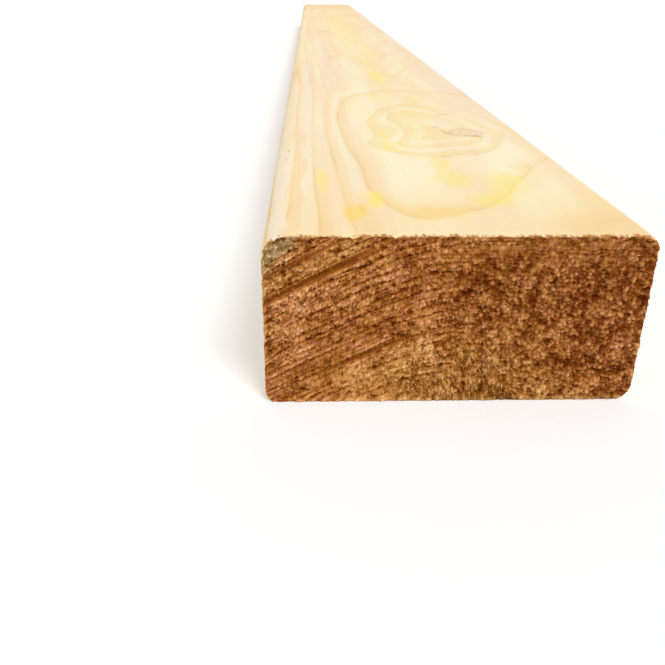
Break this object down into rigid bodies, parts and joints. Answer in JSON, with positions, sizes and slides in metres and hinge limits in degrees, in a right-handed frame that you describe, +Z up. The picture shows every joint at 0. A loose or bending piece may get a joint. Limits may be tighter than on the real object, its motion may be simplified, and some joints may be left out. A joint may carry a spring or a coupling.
{
  "type": "timber lumber plank",
  "caption": "Planed softwood plank of plain rectangular section with rounded arrises and square rough-sawn ends, stock for framing and general carpentry.",
  "frame": {"origin": "middle of the under face, on the surface that the plank lies on", "axes": "+X across the width, +Y along the length from the near end to the far end, +Z up through the thickness"},
  "size_m": [0.095, 1.5, 0.045],
  "materials": {
    "softwood": "planed faces and browner rough-sawn ends"
  },
  "bodies": {
    "root": {"plank": "softwood"}
  },
  "joints": []
}
